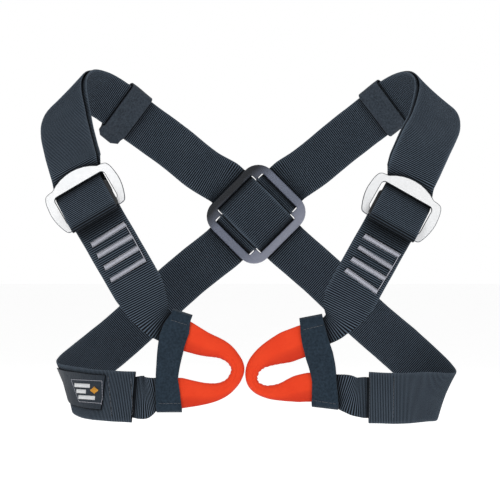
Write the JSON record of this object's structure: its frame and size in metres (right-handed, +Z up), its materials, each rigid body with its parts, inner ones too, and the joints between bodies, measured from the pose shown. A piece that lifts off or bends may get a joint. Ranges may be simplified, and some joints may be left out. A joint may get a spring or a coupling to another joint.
{
  "type": "climbing chest harness",
  "caption": "Climbing chest harness: webbing straps crossing in a diamond back plate, over the shoulders through bell shaped buckles, with chest straps and red tie-in loops.",
  "frame": {"origin": "on the middle plane, level with the straps where they lie on top of the wearer's shoulders, halfway through the chest", "axes": "+Z up, the wearer faces -Y, +X towards the wearer's left"},
  "size_m": [0.382, 0.23, 0.3248],
  "materials": {
    "webbing": "ribbed woven webbing, slate black",
    "elastic": "smooth elastic band, dark petrol",
    "keeper": "plain felt like band, dark grey",
    "sleeve": "smooth tubular sleeve, orange red",
    "plate": "moulded plastic, dark grey with a violet cast",
    "alloy": "polished forged alloy",
    "slider": "black coated metal",
    "label": null
  },
  "bodies": {
    "root": {"back_plate": "plate", "label_patch": "label", "shoulder_webbing_right": "webbing", "side_webbing_right": "webbing", "front_webbing_right": "webbing", "loop_webbing_right": "webbing", "keeper_right": "keeper", "buckle_frame_right": "alloy", "buckle_slider_right": "slider", "tie_loop_right": "sleeve", "loop_band_right": "elastic", "shoulder_webbing_left": "webbing", "side_webbing_left": "webbing", "front_webbing_left": "webbing", "loop_webbing_left": "webbing", "keeper_left": "keeper", "buckle_frame_left": "alloy", "buckle_slider_left": "slider", "tie_loop_left": "sleeve", "loop_band_left": "elastic"}
  },
  "joints": []
}
